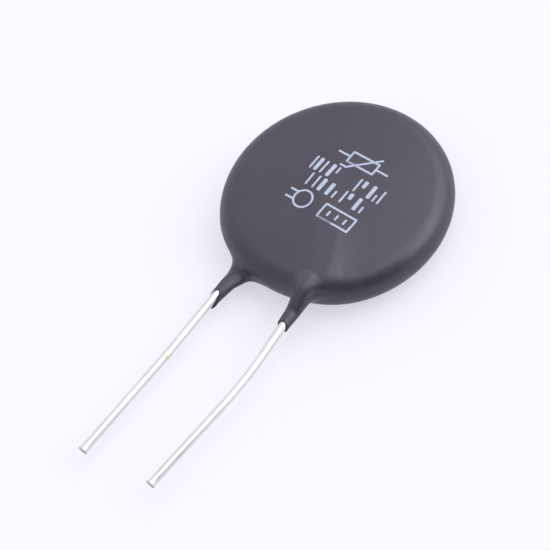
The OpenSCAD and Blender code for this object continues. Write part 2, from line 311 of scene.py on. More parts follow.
# a gripper left a small burr on the rear wire, dull and a little brown
burr_at, burr_half, burr_rise = 26.15, 0.3, 0.055
stain_from, stain_to, stain_dulls = 0.5, 0.75, 0.3
tin_dark, tin_pale, tin_stained = (0.7, 0.69, 0.67), (0.76, 0.75, 0.73), (0.76, 0.72, 0.63)
ripple_grain, ripple_depth, streak_grain, bright_tin, dull_tin = 0.5, 0.004, 0.2, 0.14, 0.3
tinned = Finish("bright_tin", (0.73, 0.72, 0.7), roughness=0.16, metallic=1.0)
ripple = tinned.grain(ripple_grain, detail=3, stretch=(1, 0.25, 1))
from_burr = tinned.nodes.new("ShaderNodeVectorMath")
from_burr.operation = "DISTANCE"
from_burr.inputs[1].default_value = (centre + (lead_x(REAR, burr_at), -burr_at, -lead_height)).tolist()
tinned.join(tinned.place.outputs["Vector"], from_burr.inputs[0])
stain = tinned.band(from_burr.outputs["Value"], stain_from, stain_to, 1, 0)
tin_tone = tinned.blend(tinned.band(ripple, 0.35, 0.7), tin_dark, tin_pale)
tinned.colour(tinned.blend(stain, tin_tone, tin_stained))
streak = tinned.grain(streak_grain, detail=4, stretch=(1, 0.15, 1))
streak = tinned.band(streak, 0.3, 0.75, bright_tin, dull_tin)
dulled = tinned.nodes.new("ShaderNodeMath")
dulled.operation = "MULTIPLY_ADD"
dulled.inputs[1].default_value = stain_dulls
tinned.join(stain, dulled.inputs[0])
tinned.join(streak, dulled.inputs[2])
tinned.roughness(dulled.outputs[0])
tinned.bump(ripple, ripple_depth)

cut_copper = Finish("cut_copper", (0.62, 0.4, 0.33), roughness=0.38, metallic=0.9)
torn_tone, sheared_tone = (0.3, 0.22, 0.2), (0.6, 0.47, 0.42)
shear_grain, shear_depth = 0.12, 0.02
shear = cut_copper.grain(shear_grain, detail=4, stretch=(1, 1, 0.3))
cut_copper.colour(cut_copper.blend(cut_copper.band(shear, 0.35, 0.65), torn_tone, sheared_tone))
cut_copper.bump(shear, shear_depth)

wire_tree, given, made, add = new_tree("drawn_wire", {
    "Sides": "Int", "Wire radius": "Float", "Ripple": "Float", "Ripple size": "Float", "Tin": "Material"})
profile = add("GeometryNodeCurvePrimitiveCircle", Resolution=given["Sides"], Radius=given["Wire radius"])
bar = add("GeometryNodeCurveToMesh", Curve=given["Geometry"], Profile_Curve=profile, Fill_Caps=True,
          Scale=add("GeometryNodeInputRadius"))
noise_seed, noise_middle = 3.0, 0.5
lump_size = add("ShaderNodeCombineXYZ", X=given["Ripple size"], Y=given["Ripple size"],
                Z=given["Ripple size"])
lump_place = add("ShaderNodeVectorMath", {"operation": "DIVIDE"}, _0=add("GeometryNodeInputPosition"),
                 _1=lump_size)
lumps = add("ShaderNodeTexNoise", {"noise_dimensions": "4D"}, W=noise_seed, Detail=2.0, Vector=lump_place)
lumps = add("ShaderNodeMath", {"operation": "SUBTRACT"}, _0=lumps, _1=noise_middle)
swell = add("ShaderNodeMath", {"operation": "MULTIPLY"}, _0=lumps, _1=given["Ripple"])
outward = add("ShaderNodeVectorMath", {"operation": "SCALE"}, _0=add("GeometryNodeInputNormal"), Scale=swell)
bar = add("GeometryNodeSetPosition", Geometry=bar, Offset=outward)
bar = add("GeometryNodeSetShadeSmooth", Geometry=bar)
bar = add("GeometryNodeRealizeInstances", Geometry=bar)
bar = add("GeometryNodeSetMaterial", Geometry=bar, Material=given["Tin"])
wire_tree.links.new(bar, made)

# how the shear leaves each end: distance from the tip, and radius as a share of the wire's
cut_rings = ((0.5, 1.0), (0.36, 1.02), (0.24, 1.07), (0.15, 1.15), (0.1, 1.2), (0.06, 1.21), (0.035, 1.17),
             (0.03, 1.05), (0.02, 0.7), (0.01, 0.35), (0.0, 0.02))
cut_from, cut_margin = cut_rings[0][0], 0.1
bend_step, wire_gap, burr_room, burr_steps = 1.5, 0.4, 1.2, 6


def lead_strokes(side):
    """The wire's path out to its cut tip, and at each point its radius as a share of the wire's."""
    path = even(wire_path(side, bend_step)[0], wire_gap)
    along = unit(path[-1] - path[-2])
    path = path[np.linalg.norm(path - path[-1], axis=1) > cut_from + cut_margin]
    if side == REAR:
        finer = [np.linspace(a, b, burr_steps, endpoint=False) if abs(a[1] + burr_at) < burr_room else [a]
                 for a, b in zip(path[:-1], path[1:])]
        path = np.vstack(finer + [path[-1:]])
    radii = 1 + (side == REAR) * burr_rise * np.exp(-((path[:, 1] + burr_at) / burr_half) ** 2)
    tip = wire_corners(side)[-1]
    path = np.vstack([path] + [tip - along * back for back, _ in cut_rings])
    return path, np.concatenate([radii, [share for _, share in cut_rings]])


wire_sides, ripple_rise, ripple_size = 40, 0.012, 2.2
cut_spread, cut_faces_out = 1.12, -0.8
for name, side in (("front_lead", FRONT), ("rear_lead", REAR)):
    path, radii = lead_strokes(side)
    wire = grown(path_curve(name + "_wire", [(path, radii)]), wire_tree, {
        "Sides": wire_sides, "Wire radius": wire_r / mm_per_metre, "Ripple": ripple_rise / mm_per_metre,
        "Ripple size": ripple_size / mm_per_metre, "Tin": tinned.material})
    # the cut end shows the copper
    wire.data.materials.append(cut_copper.material)
    for face in wire.data.polygons:
        from_tip = np.linalg.norm(np.array(face.center) * mm_per_metre - centre - path[-1])
        if from_tip < cut_spread * wire_r and face.normal.y < cut_faces_out:
            face.material_index = 1
    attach(wire, "root")
    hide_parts(name)


# Solder joints. Soft solder wets the silver along each wire's run before the dip, and sets as a long low
# mound, bright with a little frost. It holds the wire to the disc, and the skin hides it.
solder = Finish("solder", (0.62, 0.63, 0.64), roughness=0.34, metallic=0.95)
frost_size, frost_depth, bright_solder, frosted_solder = 0.25, 0.01, 0.28, 0.5
frost = solder.grain(frost_size, detail=4)
solder.roughness(solder.band(frost, 0.3, 0.7, bright_solder, frosted_solder))
solder.bump(frost, frost_depth)
for name in ("front_solder_joint", "rear_solder_joint"):
    dress(name, solder)


# Skin. The whole disc is dipped in dark liquid resin, hung by its leads and cured. The film rounds the rim,
# shows a soft ridge over each soldered run, and draws out round each wire into a thin neck.
skin_r = ceramic_r + 1.25
skin_h = ceramic_t / 2 + 1.1
rim_round = 2.1
# the faces are slightly crowned, and their relief takes hold this far off the middle plane
crown, crown_power, face_from = 0.5, 2.5, 1.2
# resin drained from the rim at the leads, and thinned the face there, up to these angles from them
drain, drain_angle = 0.5, 50
lead_end_sag, sag_w, sag_angles = 0.2, 6, (20, 80)
# the ridge over each run, which covers part of the wire's height and widens between these distances out
wire_skin, ridge_blend = 0.18, 0.4
ridge_half_w, ridge_widens, ridge_widens_at, ridge_cover = 3.0, 2.0, (6, 12.5), 0.75
# the solder mound's crest under the film, further out than the wire, and how far the mound spreads inwards
# and outwards, passing from one to the other over its crest
mound_line = np.array([(2.3, -1.5), (4.0, -4.9), (4.8, -6.5), (5.6, -9.0), (6.1, -11.0), (6.3, -13.0)])
mound_w, mound_round, mound_sides = (3.2, 3.8), 0.35, (-3, 3)
mound_fades_y, mound_sinks, mound_sinks_at = (-5.5, -1), 0.6, (9, 12.5)
# the web between disc and neck. Each pair is a size towards the other lead, and one away from it
web_blend = {FRONT: (1.5, 2.6), REAR: (2.5, 3.0)}
neck_squash = {FRONT: (0.88, 0.66), REAR: (0.62, 0.9)}
web_at, web_level, inner_to_outer = (8.2, 13.5), (0.6, 2.8), (-1.2, 1.2)
# how each neck swells towards the disc, leans outwards, and slants at its end
neck_swell, neck_swells_at = {FRONT: 1.6, REAR: 2}, (8, 12)
neck_lean, neck_leans_at = {FRONT: 0.0, REAR: 0.13}, (12, 14)
neck_slant = {FRONT: 0.3, REAR: 1.0}
# the hump where a wire goes over the rim, and the thinner film over the wire before that
shoulder_blend, shoulder_at, shoulder_level = 1.5, (9.5, 12), (0.6, 2.0)
sunk, sunk_up_to = 0.25, (10.5, 13.8)
wedge_inset, wedge_blend = 0.05, 0.5
crest_h = solder_level + wire_r + wire_skin
neck_r = wire_r + wire_skin
film_step, tiny = 7.0, 1e-9
paths = {side: wire_path(side, film_step) for side in (FRONT, REAR)}
# each wire's run over the disc seen from above, and its way from the run's bend to its tip
runs, outs = {}, {}
for side, (path, first) in paths.items():
    x = wire_corners(side)[2][0]
    runs[side] = np.vstack([path[:first, :2], [(x, -drop_from), (x, -drop_to)]])
    outs[side] = path[first - 1:-1]
# where the two slanted runs cross, seen from above
front_x, rear_x = wire_corners(FRONT)[1][0], wire_corners(REAR)[1][0]
crossing = np.array([(front_x + rear_x) / 2, (front_x - rear_x) / 2 / slope(run_slant) - run_bend_at, 0])


def ease(start, end, value):
    """A smooth step from 0 at the start to 1 at the end."""
    share = np.clip((value - start) / (end - start), 0, 1)
    return share * share * (3 - 2 * share)


def to_line(points, line):
    """How far each point is from a line of straight pieces."""
    nearest = np.full(len(points), np.inf)
    for a, b in zip(line[:-1], line[1:]):
        v = b - a
        share = np.clip((points - a) @ v / (v @ v), 0, 1)
        nearest = np.minimum(nearest, np.linalg.norm(points - a - share[:, None] * v, axis=1))
    return nearest


def blended(a, b, size):
    """Two films run together, with a fillet of that size."""
    return np.minimum(a, b) - np.maximum(size - np.abs(a - b), 0) ** 2 / (4 * size)


def angle_from_leads(p):
    return np.abs(np.degrees(np.arctan2(p[:, 0], -p[:, 1])))


def solder_mound(p):
    """The solder mound's height under the film, from 0 to 1. The rear one mirrors the front one."""
    plan = np.column_stack([np.where(p[:, 2] < 0, 2 * lead_shift - p[:, 0], p[:, 0]), p[:, 1]])
    crest_x = np.interp(-plan[:, 1], -mound_line[:, 1], mound_line[:, 0])
    outward = ease(*mound_sides, plan[:, 0] - crest_x)
    off = np.hypot(to_line(plan, mound_line), mound_round) - mound_round
    mound = np.maximum(1 - off / (mound_w[0] + (mound_w[1] - mound_w[0]) * outward), 0) ** 2
    mound = mound * (1 - ease(*mound_fades_y, p[:, 1]))
    return mound * (1 - mound_sinks * ease(*mound_sinks_at, -p[:, 1]))


def face_level(p):
    """How far off the middle plane the film's face lies, with its crown, its sag and its ridge."""
    r = np.hypot(p[:, 0], p[:, 1])
    sag = lead_end_sag * (np.maximum(r - skin_r + sag_w, 0) / sag_w) ** 2
    sag = sag * (1 - ease(*sag_angles, angle_from_leads(p)))
    face = skin_h - crown * (r / skin_r) ** crown_power - sag * ease(0, face_from, p[:, 2])
    to_run = np.where(p[:, 2] < 0, to_line(p[:, :2], runs[REAR]), to_line(p[:, :2], runs[FRONT]))
    ridge_w = ridge_half_w + ridge_widens * ease(*ridge_widens_at, -p[:, 1])
    cover = ridge_cover * (1 - ease(0, 1, to_run / ridge_w))
    lift = 1 - (1 - cover) * (1 - solder_mound(p))
    return face + np.maximum(crest_h - face, 0) * ease(0, face_from, np.abs(p[:, 2])) * lift


def film(p):
    """Below zero inside the film, zero on its surface."""
    height, way_out = np.abs(p[:, 2]), -p[:, 1]
    r = np.hypot(p[:, 0], p[:, 1])
    drained = drain * (1 - ease(0, drain_angle, angle_from_leads(p))) * ease(0, skin_r, r)
    out, over = r - (skin_r - drained - rim_round), height - (face_level(p) - rim_round)
    value = np.hypot(np.maximum(out, 0), np.maximum(over, 0))
    value = value + np.minimum(np.maximum(out, over), 0) - rim_round
    in_web = ease(*web_at, way_out) * (1 - ease(*web_level, height))
    shoulder = ease(*shoulder_at, way_out) * ease(*shoulder_level, height)
    over_run = sunk * (1 - ease(*sunk_up_to, way_out))
    for side in (FRONT, REAR):
        from_wire = p[:, 0] - lead_x(side, np.maximum(way_out, drop_to))
        outer = ease(*inner_to_outer, side * from_wire)
        web, squash = (inner + (away - inner) * outer for inner, away in (web_blend[side], neck_squash[side]))
        from_end = np.clip((neck_reach[side] - way_out) / (neck_reach[side] - skin_r), 0, 1)
        swollen = (1 - (1 - from_end) ** neck_swell[side]) * ease(*neck_swells_at, way_out)
        q = p.copy()
        leant = side * neck_lean[side] * ease(*neck_leans_at, way_out)
        q[:, 0] -= from_wire * (1 - squash) * swollen - leant
        size = ridge_blend + (web - ridge_blend) * in_web
        size = size + np.maximum(shoulder_blend - size, 0) * shoulder
        value = blended(value, to_line(q, outs[side]) - wire_r - wire_skin + over_run, size)
        if side == FRONT:
            # the wedge of resin held under the sloping wire
            level = np.interp(way_out, -outs[side][:, 1], side * outs[side][:, 2])
            q[:, 2] += side * np.clip(level - side * p[:, 2], 0, level - lead_height)
            value = blended(value, to_line(q, outs[side]) - wire_r + wedge_inset, wedge_blend)
    return value


def film_ends(start, aim, far, halvings=15, refinings=2):
    """How far each ray from inside the film goes before it leaves it."""
    near, far = np.zeros(len(start)), np.broadcast_to(far, len(start)).astype(float)
    for k in range(halvings + refinings):
        if k < halvings:
            guess = (near + far) / 2
        else:
            at_near, at_far = film(start + near[:, None] * aim), film(start + far[:, None] * aim)
            guess = near + (far - near) * at_near / np.minimum(at_near - at_far, -tiny)
        inside = film(start + guess[:, None] * aim) < 0
        near, far = np.where(inside, guess, near), np.where(inside, far, guess)
    return near


# The film's mesh is made of ribs, each a line of points down the film in one plane. Ribs fan out over the rim
# from the runs' crossing, and along each lead they start on the wire, out to the neck's end. Their starts
# crowd towards that end, and leave the middle plane a little before the drop.
rib_crowding, sinks_before, edge_smoothing = 1.35, 1, 0.16
# how far round from the leads the fan starts, on the rim's long way round and between the leads
outer_angle, inner_angle = 52.0, 3.0
# ribs along each edge of a lead, ribs round the rim the long way and between the leads, and rows of points
stations, arc_ribs, inner_ribs = 52, 170, 9
flat_rows, rim_rows = 26, 16


def rib_start(side, share):
    """Where a rib starts: on the wire's plan line, from the crossing of the runs to the neck's end."""
    at = (neck_reach[side] + crossing[1]) * (1 - (1 - share) ** rib_crowding) - crossing[1]
    path = paths[side][0]
    return np.array([np.interp(at, -path[:, 1], path[:, 0]), -at,
                     side * lead_height * ease(drop_from - sinks_before, drop_to, at)])


def edge_point(side, outer, share):
    """A point on the plan of the rim and a neck's edge, from the rim (0) to the neck's end (1)."""
    r, w = (skin_r, neck_r) if outer else (skin_r - drain, -neck_r)
    at_rim, at_end = (side * lead_x(side, at) + w for at in (drop_to, neck_reach[side]))
    start, end = math.radians(outer_angle if outer else inner_angle), math.asin(at_rim / r)
    corner_y = -r * math.cos(end)
    arc, straight = r * abs(start - end), math.hypot(at_end - at_rim, neck_reach[side] + corner_y)
    way = share * (arc + straight)
    if way < arc:
        turn = start + (end - start) * way / arc
        return np.array([side * r * math.sin(turn), -r * math.cos(turn)])
    share = (way - arc) / straight
    x = side * (at_rim + (at_end - at_rim) * share)
    return np.array([x, corner_y - (neck_reach[side] + corner_y) * share])


def lead_rib(side, share, outer):
    """A rib of a neck or of the film before it: its start, its heading, its side and its share of the way."""
    cut = min(edge_smoothing, share, 1 - share)
    target = (edge_point(side, outer, share - cut) + edge_point(side, outer, share + cut)) / 2
    start = rib_start(side, share)
    return start, np.append(unit(target - start[:2]), 0), side, share


def rim_rib(degrees):
    """A rib of the fan, at that many degrees round from +X."""
    turn = math.radians(degrees)
    target = skin_r * np.array([math.cos(turn), math.sin(turn)])
    return crossing, np.append(unit(target - crossing[:2]), 0), FRONT, 0.0


shares = [k / stations for k in range(1, stations + 1)]
ribs = [lead_rib(FRONT, s, True) for s in reversed(shares)]
ribs += [rim_rib(outer_angle - 90 + (360 - 2 * outer_angle) * k / arc_ribs) for k in range(arc_ribs + 1)]
ribs += [lead_rib(REAR, s, True) for s in shares] + [lead_rib(REAR, s, False) for s in reversed(shares)]
ribs += [rim_rib(turn - 90) for turn in np.linspace(-inner_angle, inner_angle, inner_ribs)]
ribs += [lead_rib(FRONT, s, False) for s in shares]
starts, heads, sides, share = (np.array(column) for column in zip(*ribs))
slant_from = 0.55
slant = np.where(sides == FRONT, neck_slant[FRONT], neck_slant[REAR]) / neck_r * ease(slant_from, 1, share)
# a search this far out always ends outside the film, and near a neck's end doesn't reach the other neck
disc_search, neck_search = 1.25 * skin_r, 5
search = np.where(share > 0, disc_search * (1 - share) + neck_search * share, 2 * skin_r)
wide = film_ends(starts, heads, search)
half_rows = flat_rows + rim_rows


def film_points(angles, facing, far):
    """Each rib's points on the film, at these angles from straight up or down to level."""
    angles = np.atleast_2d(angles)[..., None]
    upward = np.column_stack([0 * slant, slant, 0 * slant + 1]) * facing
    aim = unit(heads * np.sin(angles) + upward * np.cos(angles))
    far = np.where(angles[..., 0] == 0, 2 * skin_h, far)
    start = np.broadcast_to(starts, aim.shape)
    way = film_ends(start.reshape(-1, 3), aim.reshape(-1, 3), far.ravel()).reshape(far.shape)
    return start + way[..., None] * aim


round_share, row_crowding, spare_angles, search_margin, short_step = 0.9, 1.7, 26, 0.5, 0.05
rows = []
for facing in (1, -1):
    tall = film_ends(starts, np.tile([0.0, 0.0, facing], (len(ribs), 1)), 2 * skin_h)
    round_w, round_h = (np.minimum(rim_round, round_share * size) for size in (wide, tall))
    # a first try of the rows, as on a flat face with a round rim, with some even angles between them
    angles = []
    for k in range(half_rows + 1):
        turn = math.pi / 2 * max(k - flat_rows, 0) / rim_rows
        out = (wide - round_w) * min(k / flat_rows, 1) ** row_crowding + round_w * math.sin(turn)
        angles.append(np.arctan2(out, (tall - round_h * (1 - math.cos(turn))) * (k < half_rows)))
    spare = np.outer(np.linspace(0, math.pi / 2, spare_angles)[1:-1], np.ones(len(ribs)))
    angles = np.sort(np.vstack([angles, spare]), axis=0)
    far = np.hypot(wide, tall) + search_margin
    steps = np.diff(film_points(angles, facing, far), axis=0)
    length = np.linalg.norm(steps, axis=2)
    along = steps / np.maximum(length, tiny)[..., None]
    # how much the film bends at each step, where both steps are long enough to tell
    bend = np.arccos(np.clip((along[1:] * along[:-1]).sum(2), -1, 1))
    bend = bend * np.clip(np.minimum(length[1:], length[:-1]) / short_step, 0, 1)
    bend = np.vstack([bend, 0 * bend[:1]]) + np.vstack([0 * bend[:1], bend])
    # rows shared out half by length and half by how much the film bends
    way = np.cumsum(length / length.sum(0) + bend / bend.sum(0), axis=0) / 2
    way = np.vstack([0 * way[:1], way])
    even_way = np.linspace(0, 1, half_rows + 1)
    angles = np.array([np.interp(even_way, way[:, r], angles[:, r]) for r in range(len(ribs))]).T
    angles[0], angles[-1] = 0, math.pi / 2
    column = list(film_points(angles, facing, far))
    rows += column if facing > 0 else column[-2::-1]
rows = np.array(rows)

# the ribs' points joined into a closed shell, with each neck's end rolled in to its wire
ribs_n, rows_n = len(ribs), len(rows)
points = rows.transpose(1, 0, 2).reshape(-1, 3)
faces = []
for k in range(ribs_n):
    after = (k + 1) % ribs_n
    at_neck_end = share[k] == 1 and share[after] == 1 and sides[k] == sides[after]
    if not at_neck_end:
        faces += [(k * rows_n + r, k * rows_n + r + 1, after * rows_n + r + 1, after * rows_n + r)
                  for r in range(rows_n - 1)]
# rings at each neck's end: their share of its width, and how far out they stand
neck_end_rings = ((0.93, 0.03), (0.84, 0.035), (0.7, 0.02))
ends = []
for side in (FRONT, REAR):
    first, second = [k for k in range(ribs_n) if share[k] == 1 and sides[k] == side]
    loop = [first * rows_n + r for r in range(rows_n)]
    loop += [second * rows_n + r for r in range(rows_n - 2, 0, -1)]
    wire_at = (wire_corners(side)[3] + wire_corners(side)[4]) / 2
    axis_x, axis_z = rib_start(side, 1)[0], wire_at[2]
    count, before = len(loop), loop
    for inset, out in neck_end_rings:
        ring = []
        for x, y, z in (points[v] for v in loop):
            ring.append(len(points) + len(ends))
            ends.append((axis_x + (x - axis_x) * inset, y - out, axis_z + (z - axis_z) * inset))
        faces += [(before[k], before[(k + 1) % count], ring[(k + 1) % count], ring[k]) for k in range(count)]
        before = ring
    faces.append(tuple(before))
points = np.vstack([points, ends])

weld_m = 1e-7
mesh = bpy.data.meshes.new("dipped_skin")
mesh.from_pydata(((points + centre) / mm_per_metre).tolist(), [], faces)
shell = bmesh.new()
shell.from_mesh(mesh)
bmesh.ops.remove_doubles(shell, verts=shell.verts, dist=weld_m)
shell.to_mesh(mesh)
shell.free()
mesh.shade_smooth()
# the film's own slope as the shading normal, except where the neck ends roll in
slope_step, on_film = 0.02, 0.03
surface = np.array([v.co for v in mesh.vertices]) * mm_per_metre - centre
slopes = [film(surface + step) - film(surface - step) for step in np.eye(3) * slope_step]
slopes = unit(np.column_stack(slopes))
own = np.array([v.normal for v in mesh.vertices])
slopes = np.where((np.abs(film(surface)) < on_film)[:, None], slopes, own)
mesh.normals_split_custom_set_from_vertices(slopes.tolist())
skin = new_object("dipped_skin", mesh)

resin = Finish("dipped_resin", (0.034, 0.031, 0.047), roughness=0.45)
resin.shader.inputs["IOR"].default_value = 1.6
cloud_size, mottle_size, dust_size = 5.0, 0.9, 0.11
cloud_depth, mottle_depth, dust_depth = 0.12, 0.012, 0.003
cloud_dark, cloud_pale = (0.031, 0.0285, 0.044), (0.036, 0.033, 0.049)
# the third tone on the next line, and the way, bounds and share on the line after it, paint light: a paler
# patch over one side of the face
mottle_tone, dust_tone, painted_light_tone = (0.04, 0.037, 0.052), (0.1, 0.1, 0.11), (0.062, 0.058, 0.074)
painted_light_way, painted_light_from, painted_light_to, painted_light_share = (0.938, 0.1, 10), 53, 66, 0.5
smooth_resin, dull_resin = 0.37, 0.47
clouds = resin.grain(cloud_size, detail=3, roughness=0.55)
mottle = resin.grain(mottle_size, detail=4, roughness=0.6)
dust = resin.grain(dust_size, detail=2, roughness=0.5)
tone = resin.blend(resin.band(clouds, 0.3, 0.7), cloud_dark, cloud_pale)
tone = resin.blend(resin.band(mottle, 0.35, 0.75, 0, 0.35), tone, mottle_tone)
tone = resin.blend(resin.band(dust, 0.72, 0.8, 0, 0.6), tone, dust_tone)
# painted highlight: the resin is paler over one side of the face, fading before the rim, in place of brighter
# light falling there
painted_light_facing = resin.nodes.new("ShaderNodeVectorMath")
painted_light_facing.operation = "DOT_PRODUCT"
painted_light_facing.inputs[1].default_value = painted_light_way
resin.join(resin.place.outputs["Vector"], painted_light_facing.inputs[0])
painted_light_mask = resin.band(painted_light_facing.outputs["Value"], painted_light_from, painted_light_to, 0, painted_light_share)
resin.colour(resin.blend(painted_light_mask, tone, painted_light_tone))
resin.roughness(resin.band(mottle, 0.3, 0.7, smooth_resin, dull_resin))
resin.bump(clouds, cloud_depth)
resin.bump(mottle, mottle_depth)
resin.bump(dust, dust_depth)
skin.data.materials.append(resin.material)
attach(skin, "root")
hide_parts("coating")


# Printed marks. A pad prints pale ink on the cured skin: the sign for a resistor that changes with heat, two
# rows of plain bars, a ring with two stubs and a box with three short bars. None of them spells anything. The
# ink stands a little proud and follows the skin.
stroke_w, stroke_tip, print_turn = 0.27, 0.55, -3
stroke_sides, ring_overlap, ring_points = 12, 1.03, 60


def box_path(x, y, w, h):
    """The outline of a box, run on past its first corner so that it closes."""
    return [(x - w / 2, y - h / 2), (x + w / 2, y - h / 2), (x + w / 2, y + h / 2), (x - w / 2, y + h / 2),
            (x - w / 2, y - h / 2), (x, y - h / 2)]


def ring_path(x, y, r):
    return [(x + r * math.cos(a), y + r * math.sin(a))
            for a in np.linspace(0, 2 * math.pi * ring_overlap, ring_points)]


resistor_sign = [box_path(0.85, 4.7, 3.7, 1.5), [(-2.75, 4.7), (-1.0, 4.7)], [(2.7, 4.7), (4.45, 4.7)],
                 [(-1.45, 3.25), (-0.55, 3.25), (2.75, 6.2)]]
# the bars of the two rows: place, foot, top and how many strokes thick
bars = ((-4.25, 1.0, 2.9, 1), (-3.55, 1.0, 2.9, 1.9), (-2.75, 1.0, 2.9, 1), (-1.75, 1.0, 2.9, 1.9),
        (-1.0, 1.9, 2.9, 1), (2.2, 1.0, 2.9, 1), (2.95, 1.9, 2.9, 1.9), (4.2, 1.0, 2.9, 1.9),
        (4.95, 1.0, 2.0, 1), (5.6, 1.0, 2.9, 1),
        (-3.2, -1.1, 0.7, 1), (-2.2, -1.1, 0.7, 1), (-1.35, -1.1, 0.7, 1.9), (-0.2, -1.1, 0.7, 1.9),
        (0.65, -1.1, 0.0, 1), (1.75, -1.1, 0.7, 1), (2.5, -0.2, 0.7, 1.9), (3.75, -1.1, 0.7, 1.9),
        (4.6, -1.1, -0.1, 1))
ring_with_stubs = [ring_path(-2.15, -2.85, 1.15), [(-4.35, -2.3), (-3.1, -2.3)],
                   [(-4.35, -3.4), (-3.1, -3.4)]]
box_with_bars = [box_path(2.9, -2.95, 4.3, 1.9)] + [[(x, -3.35), (x, -2.55)] for x in (1.75, 2.9, 4.05)]
marks = [(plan, stroke_w) for plan in resistor_sign]
marks += [([(x, foot), (x, top)], stroke_w * thick) for x, foot, top, thick in bars]
marks += [(plan, stroke_w) for plan in ring_with_stubs + box_with_bars]
# each mark lies a hair over the one before, so that no two faces coincide where marks cross
mark_gap, mark_lift = 0.08, 0.0005
cos_turn, sin_turn = math.cos(math.radians(print_turn)), math.sin(math.radians(print_turn))
strokes = []
for k, (plan, width) in enumerate(marks):
    turned = [(x * cos_turn - y * sin_turn, x * sin_turn + y * cos_turn, mark_lift * k) for x, y in plan]
    path = even(np.array(turned), mark_gap)
    radii = np.full(len(path), width / 2)
    radii[[0, -1]] = stroke_tip * width / 2
    strokes.append((path, radii))

ink_tree, given, made, add = new_tree("pad_print", {
    "Skin": "Object", "Ink rise": "Float", "Edge wobble": "Float", "Ink": "Material"})
ray_from_m, ray_length_m, wobbles_per_metre = 0.1, 1.0, 4000
profile = add("GeometryNodeCurvePrimitiveCircle", Resolution=stroke_sides, Radius=1 / mm_per_metre)
ribbon = add("GeometryNodeCurveToMesh", Curve=given["Geometry"], Profile_Curve=profile, Fill_Caps=True,
             Scale=add("GeometryNodeInputRadius"))
place = add("GeometryNodeInputPosition")
parts = ink_tree.nodes.new("ShaderNodeSeparateXYZ")
ink_tree.links.new(place, parts.inputs[0])
above = add("ShaderNodeCombineXYZ", X=parts.outputs[0], Y=parts.outputs[1], Z=ray_from_m)
under = ink_tree.nodes.new("GeometryNodeRaycast")
target = ink_tree.nodes.new("GeometryNodeObjectInfo")
ink_tree.links.new(given["Skin"], target.inputs["Object"])
ink_tree.links.new(target.outputs["Geometry"], under.inputs["Target Geometry"])
ink_tree.links.new(above, under.inputs["Source Position"])
under.inputs["Ray Direction"].default_value = (0, 0, -1)
under.inputs["Ray Length"].default_value = ray_length_m
ground = ink_tree.nodes.new("ShaderNodeSeparateXYZ")
ink_tree.links.new(under.outputs["Hit Position"], ground.inputs[0])
# the stroke's roundness, pressed nearly flat on the skin, with its edges wobbled sideways
middle_z = float(centre[2] / mm_per_metre)
rise = add("ShaderNodeMath", {"operation": "SUBTRACT"}, _0=parts.outputs[2], _1=middle_z)
rise = add("ShaderNodeMath", {"operation": "MULTIPLY"}, _0=rise, _1=given["Ink rise"])
settled_z = add("ShaderNodeMath", {"operation": "ADD"}, _0=ground.outputs[2], _1=rise)
settled = add("ShaderNodeCombineXYZ", X=parts.outputs[0], Y=parts.outputs[1], Z=settled_z)
wobble = ink_tree.nodes.new("ShaderNodeTexNoise")
wobble.inputs["Scale"].default_value = wobbles_per_metre
ink_tree.links.new(place, wobble.inputs["Vector"])
spread = add("ShaderNodeVectorMath", {"operation": "SUBTRACT"}, _0=wobble.outputs["Color"],
             _1=(noise_middle,) * 3)
spread = add("ShaderNodeVectorMath", {"operation": "SCALE"}, _0=spread, Scale=given["Edge wobble"])
flat_spread = add("ShaderNodeVectorMath", {"operation": "MULTIPLY"}, _0=spread, _1=(1, 1, 0))
ribbon = add("GeometryNodeSetPosition", Geometry=ribbon, Position=settled, Offset=flat_spread)
ribbon = add("GeometryNodeSetShadeSmooth", Geometry=ribbon)
ribbon = add("GeometryNodeRealizeInstances", Geometry=ribbon)
ribbon = add("GeometryNodeSetMaterial", Geometry=ribbon, Material=given["Ink"])
ink_tree.links.new(ribbon, made)

ink = Finish("pale_ink", (0.5, 0.58, 0.72), roughness=0.5)
full_ink, thin_ink = (0.5, 0.56, 0.67), (0.32, 0.36, 0.44)
patch_size, ink_depth = 0.16, 0.006
thin = ink.grain(patch_size, detail=4, roughness=0.6)
ink.colour(ink.blend(ink.band(thin, 0.4, 0.75), full_ink, thin_ink))
ink.bump(thin, ink_depth)
ink_rise, edge_wobble = 0.12, 0.03
printed = grown(path_curve("printed_marks", strokes), ink_tree, {
    "Skin": skin, "Ink rise": ink_rise, "Edge wobble": edge_wobble / mm_per_metre, "Ink": ink.material})
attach(printed, "root")


# Table, light and camera. A pale card lies under the part and sweeps up all round, in a cloth tent with
# brighter right, back and left walls and a dark opening at the front right. A soft lamp adds to the right
# wall, and the camera looks down over the leads at the photograph's angle. Lengths here are in metres.
flat_r, rise_r, around = 0.9, 0.15, 96
sweep_radians = np.linspace(0.15, math.pi / 2, 10)
sweep_line = [(0.06, 0), (0.12, 0), (0.25, 0), (0.5, 0), (flat_r, 0)]
sweep_line += [(flat_r + rise_r * math.sin(a), rise_r - rise_r * math.cos(a)) for a in sweep_radians]
sweep_points = [(r * math.cos(2 * math.pi * k / around), r * math.sin(2 * math.pi * k / around), z)
                for r, z in sweep_line for k in range(around)]
sweep_faces = [tuple(range(around))]
for row in range(len(sweep_line) - 1):
    inner, outer = row * around, (row + 1) * around
    sweep_faces += [(inner + k, outer + k, outer + (k + 1) % around, inner + (k + 1) % around)
                    for k in range(around)]
sweep_mesh = bpy.data.meshes.new("sweep")
sweep_mesh.from_pydata(sweep_points, [], sweep_faces)
sweep_mesh.shade_smooth()
sweep = new_object("sweep", sweep_mesh)
card = Finish("pale_card", (0.88, 0.87, 0.93), roughness=0.7)
